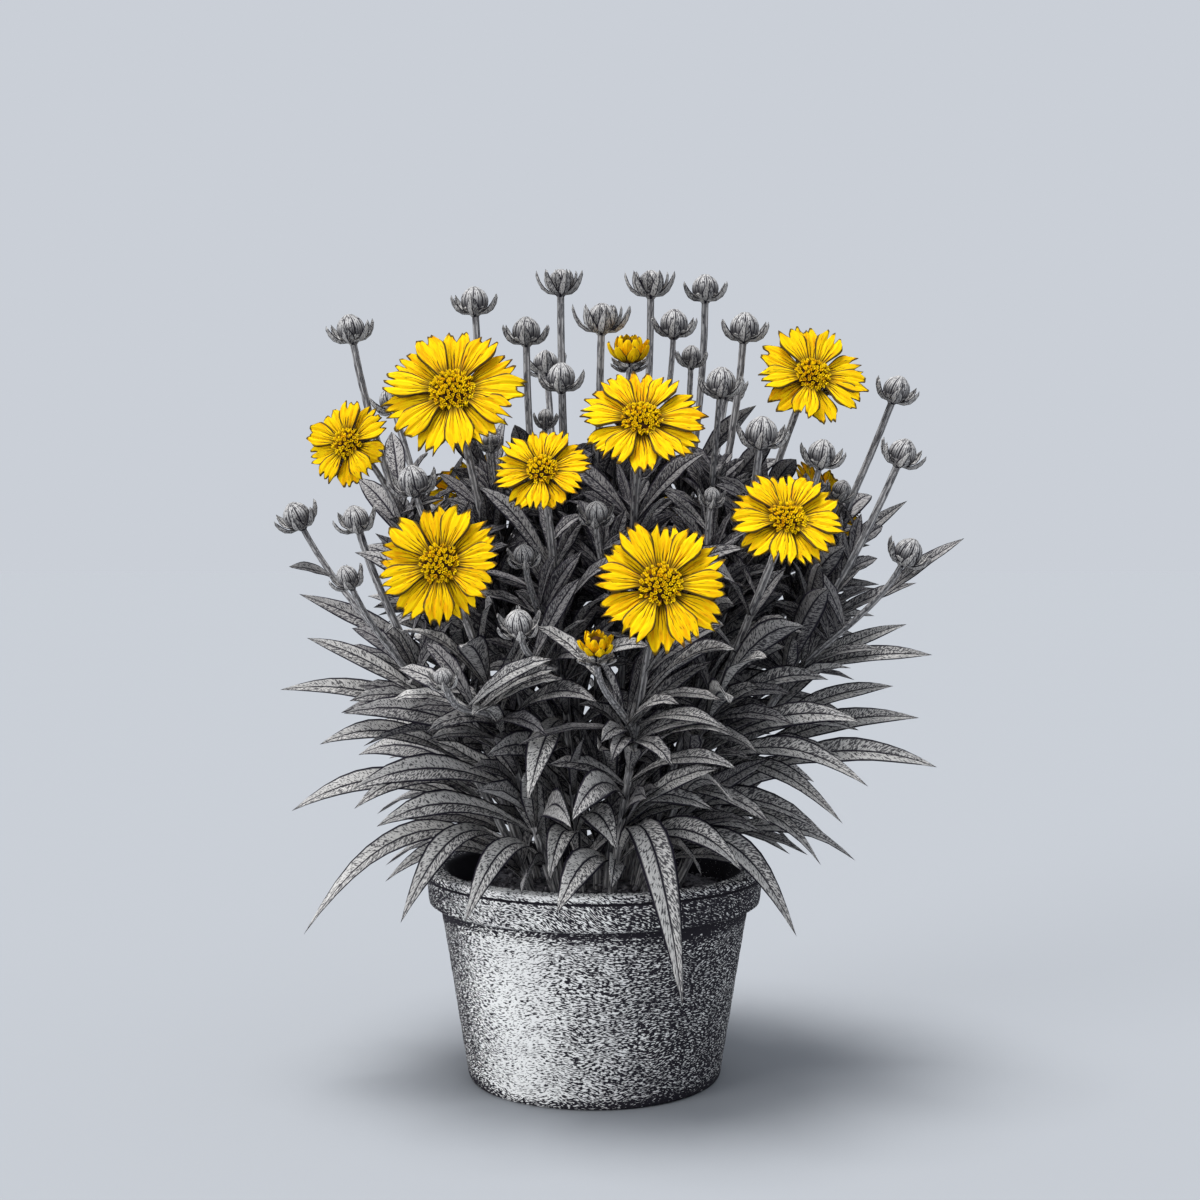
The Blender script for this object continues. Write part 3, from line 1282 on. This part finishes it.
POT_SIDES = 128
UNEVENNESS = 0.0005  # how far the pot is out of true
UNEVEN_PITCH = 0.03
DRAIN_HOLES = 3
DRAIN_CIRCLE = 0.026  # radius of the circle that the drain holes lie on
DRAIN_RADIUS = 0.0045
SOIL_SIDES = 96
SOIL_RINGS = 30
SOIL_TAPER = 0.0125  # the soil's foot is this much narrower than its top
SOIL_SPARE = 0.0008  # between the soil's smooth crown and its highest lumps
LUMPS = (180, 260, 390, 520, 800, 1100, 1500, 2100, 2900)  # waves in the soil, in radians a metre
CRUMB_MARGIN = 0.003  # along the wall, without crumbs
CRUMB_SUNK = 0.2  # of a crumb's radius
SOIL_SEED = 11
STEM_SEED = 100  # of the first stem; each further one has the next
BLOOM_SEED = 500


def soil_height(radius):
    """Height of the soil's smooth surface, this far from the pot's axis."""
    rise = min((SOIL_HIGH.x - radius) / (SOIL_HIGH.x - SOIL_FLAT * MM), 1)
    return blend(SOIL_EDGE * MM, SOIL_HIGH.z - SOIL_SPARE, math.sin(rise * math.pi / 2))


def crumb_copy(crumb, form, size, draw):
    """A crumb of the soil, rough and lying where the draws bring it."""
    radius = (SOIL_HIGH.x - CRUMB_MARGIN) * math.sqrt(draw.random())
    angle = draw.uniform(0, TURN)
    size *= draw.uniform(0.3, 1) ** 1.5
    rough = 1 + 0.3 * np.sin(form @ [draw.uniform(-4, 4) for _ in range(3)] + draw.uniform(0, 6))
    stretch = [draw.uniform(0.7, 1.3), draw.uniform(0.7, 1.3), draw.uniform(0.5, 0.9)]
    shape = form * rough[:, None] * stretch * size
    return copied(crumb, shape + radial(angle, radius, soil_height(radius) - size * CRUMB_SUNK))


# ---- The steps ----
FLOOR_SIZE = 400
LIGHTS = {"key": (-62, 82, 26), "side": (-52, 14, 30)}  # azimuth from the front, elevation and softness
CAMERA_ASIDE = 0.0023  # from the pot's axis towards +X
CAMERA_TILT = 89  # from straight down
SENSOR = 36
LENS = 50.3


class COREOPSIS_OT_stage(bpy.types.Operator):
    """Makes the floor, the lights and the camera"""

    bl_idname = "coreopsis.stage"
    bl_label = "Stage"

    def execute(self, context):
        look = context.scene.coreopsis_stage
        floor = added(bpy.ops.mesh.primitive_plane_add, size=FLOOR_SIZE)
        floor.name = "floor"
        floor.data.materials.append(floor_finish(look))
        world = bpy.data.worlds.new("air")
        world.use_nodes = True
        world.node_tree.nodes["Background"].inputs["Color"].default_value = (*look.air, 1)
        context.scene.world = world
        for name, degrees in LIGHTS.items():
            azimuth, elevation, softness = (math.radians(value) for value in degrees)
            flat = math.cos(elevation)
            towards = Vector((math.sin(azimuth) * flat, -math.cos(azimuth) * flat, math.sin(elevation)))
            rotation = towards.to_track_quat("Z", "Y").to_euler()
            light = added(bpy.ops.object.light_add, type="SUN", rotation=rotation)
            light.name = name
            light.data.energy = getattr(look, name)
            light.data.angle = softness
        place = (CAMERA_ASIDE, -look.eye_distance, look.eye_height)
        tilt = (math.radians(CAMERA_TILT), 0, 0)
        camera = added(bpy.ops.object.camera_add, location=place, rotation=tilt)
        camera.data.sensor_width = SENSOR
        camera.data.lens = LENS
        context.scene.camera = camera
        context.scene.view_settings.view_transform = "Standard"
        return {"FINISHED"}


class COREOPSIS_OT_pot(bpy.types.Operator):
    """Models the pot"""

    bl_idname = "coreopsis.pot"
    bl_label = "Pot"

    def execute(self, context):
        look = context.scene.coreopsis_pot
        pot = lathed("pot_fired", POT_SIDES, pot_profile(look))
        texture = bpy.data.textures.new("unevenness", "CLOUDS")
        texture.noise_scale = UNEVEN_PITCH
        modify(pot, "DISPLACE", texture=texture, strength=UNEVENNESS, direction="NORMAL")
        places = corners_of(pot)
        places[:, 2] = np.maximum(places[:, 2], POT_LOW.z)
        place_corners(pot, places)
        for hole in range(DRAIN_HOLES):
            place = radial(hole / DRAIN_HOLES * TURN, DRAIN_CIRCLE, 0)
            size = {"radius": DRAIN_RADIUS, "depth": 3 * POT_FLOOR * MM}
            drill = added(bpy.ops.mesh.primitive_cylinder_add, vertices=24, location=place, **size)
            modify(pot, "BOOLEAN", object=drill)
            bpy.data.objects.remove(drill)
        pot.data.materials.append(clay_finish(look))
        smooth(pot, 35)
        finish_piece(pot, "pot_clay", "pot")
        return {"FINISHED"}


class COREOPSIS_OT_soil(bpy.types.Operator):
    """Models the soil and its loose crumbs"""

    bl_idname = "coreopsis.soil"
    bl_label = "Soil"

    def execute(self, context):
        look = context.scene.coreopsis_soil
        edge, top = SOIL_HIGH.x, SOIL_EDGE * MM
        radii = [edge * (1 - k / SOIL_RINGS) for k in range(1, SOIL_RINGS)]
        profile = [(SOIL_LOW.z, edge - SOIL_TAPER), (top, edge), *((soil_height(out), out) for out in radii)]
        soil = lathed("soil_form", SOIL_SIDES, profile)
        draw = random.Random(SOIL_SEED)
        places = corners_of(soil)
        on_top = places[:, 2] > top - NEAR * MM
        lumps = 0
        for pitch in LUMPS:
            way = np.array([draw.uniform(-1, 1), draw.uniform(-1, 1), 0])
            lumps += np.sin(places @ way * pitch + draw.uniform(0, 6)) / pitch
        places[:, 2] += on_top * (lumps * LUMPS[0] * look.lumpiness * 0.35 - look.lumpiness * 0.4)
        place_corners(soil, places)
        soil.data.materials.append(earth_finish(look))
        bpy.ops.object.shade_smooth()
        crumb = added(bpy.ops.mesh.primitive_ico_sphere_add, subdivisions=2, radius=1)
        crumb.data.materials.append(soil.data.materials[0])
        bpy.ops.object.shade_smooth()
        form = corners_of(crumb)
        crumbs = [crumb_copy(crumb, form, look.crumb_size / 2, draw) for _ in range(look.crumbs)]
        bpy.data.objects.remove(crumb)
        finish_piece(joined("soil_crumbled", [soil, *crumbs]), "soil", "soil")
        return {"FINISHED"}


class COREOPSIS_OT_stems(bpy.types.Operator):
    """Models the leafy stems, with their stalks, leaves, buds and the cups under the blooms"""

    bl_idname = "coreopsis.stems"
    bl_label = "Leafy stems"

    def execute(self, context):
        look = context.scene.coreopsis_plant
        leafy = leaf_finish(look)
        forms = {
            "small_leaf": blade_template("small_leaf_form", SMALL_LEAF_OUTLINE, leafy),
            "bract": blade_template("bract_form", BRACT_OUTLINE, leafy),
            "bowl": lathed_template("bowl_form", 16, BOWL, leafy, BOWL_PATTERN),
            "stalk": stalk_template(stalk_finish(look)),
            "bud": bud_template(bud_finish(look)),
        }
        for rank, count in LEAF_STATIONS.items():
            forms[rank] = blade_template(f"{rank}_form", leaf_outline(count), leafy)
        for k, (node, stem) in enumerate(zip(numbered_nodes("stem_", len(plant())), plant())):
            draw = random.Random(STEM_SEED + k)
            pieces = []
            for head, stalk in zip(stem.heads, stem.stalks):
                radius = look.stalk_radius / MM * (1 if stalk is stem.stalks[0] else SIDE_STALK)
                places = tube_along(forms["stalk"].places, stalk, head.level, radius, STALK_TAPER)
                pieces.append(forms["stalk"].copy(places, draw.random()))
                head_copies = involucre_copies if head.kind in YELLOW else bud_copies
                pieces += head_copies(forms, head, draw)
            for leaf in stem.leaves:
                form = forms.get(leaf.rank, forms["small_leaf"])
                pieces.append(leaf_copy(form, leaf, look.leaf_thickness / MM, draw))
            finish_piece(joined(f"leafy_{node}", pieces), "foliage", node)
        for form in forms.values():
            form.remove()
        return {"FINISHED"}


class COREOPSIS_OT_blooms(bpy.types.Operator):
    """Models the yellow blooms, open and opening"""

    bl_idname = "coreopsis.blooms"
    bl_label = "Blooms"

    def execute(self, context):
        look = context.scene.coreopsis_bloom
        yellow, middle = petal_finish(look), floret_finish(look)
        forms = {
            "petal": petal_template(yellow),
            "furled": blade_template("furled_form", BRACT_OUTLINE, yellow),
            "tongue": blade_template("tongue_form", BRACT_OUTLINE, middle),
            "floret": floret_template(middle),
            "dome": lathed_template("dome_form", 20, DOME, middle, 0, pointed=True),
        }
        heads = [head for stem in plant() for head in stem.heads if head.kind in YELLOW]
        for k, (node, head) in enumerate(zip(numbered_nodes("bloom_", len(heads)), heads)):
            draw = random.Random(BLOOM_SEED + k)
            if head.kind == "opening":
                pieces = opening_copies(forms, head, draw)
            else:
                uneven = seeded(round(head.at[0] * 7 + head.at[2] * 13 + 4000))
                thickness = look.petal_thickness / MM
                pieces = disc_copies(forms, head, look, draw)
                for first, height in enumerate(PETAL_ROWS):
                    pieces += petal_row(forms["petal"], head, first, height, uneven, thickness, draw)
            finish_piece(joined(f"flower_{node}", pieces), "petal", node)
        for form in forms.values():
            form.remove()
        return {"FINISHED"}


class COREOPSIS_PT_panel(bpy.types.Panel):
    """Lists the steps and what may be changed"""

    bl_label = "Potted Coreopsis"
    bl_idname = "COREOPSIS_PT_panel"
    bl_space_type = "VIEW_3D"
    bl_region_type = "UI"
    bl_category = "Coreopsis"

    def draw(self, context):
        for step, (look, _) in STEPS.items():
            box = self.layout.box()
            box.operator(step.bl_idname)
            settings = getattr(context.scene, look)
            for name in type(settings).__annotations__:
                box.prop(settings, name)


STEPS = {
    COREOPSIS_OT_stage: ("coreopsis_stage", StageLook),
    COREOPSIS_OT_pot: ("coreopsis_pot", PotLook),
    COREOPSIS_OT_soil: ("coreopsis_soil", SoilLook),
    COREOPSIS_OT_stems: ("coreopsis_plant", PlantLook),
    COREOPSIS_OT_blooms: ("coreopsis_bloom", BloomLook),
}


def register():
    for step, (name, look) in STEPS.items():
        bpy.utils.register_class(look)
        bpy.utils.register_class(step)
        setattr(bpy.types.Scene, name, PointerProperty(type=look))
    bpy.utils.register_class(COREOPSIS_PT_panel)


def unregister():
    bpy.utils.unregister_class(COREOPSIS_PT_panel)
    for step, (name, look) in reversed(STEPS.items()):
        delattr(bpy.types.Scene, name)
        bpy.utils.unregister_class(step)
        bpy.utils.unregister_class(look)


def main():
    register()
    for step in STEPS:
        group, name = step.bl_idname.split(".")
        getattr(getattr(bpy.ops, group), name)()
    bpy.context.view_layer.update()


if __name__ == "__main__":
    main()
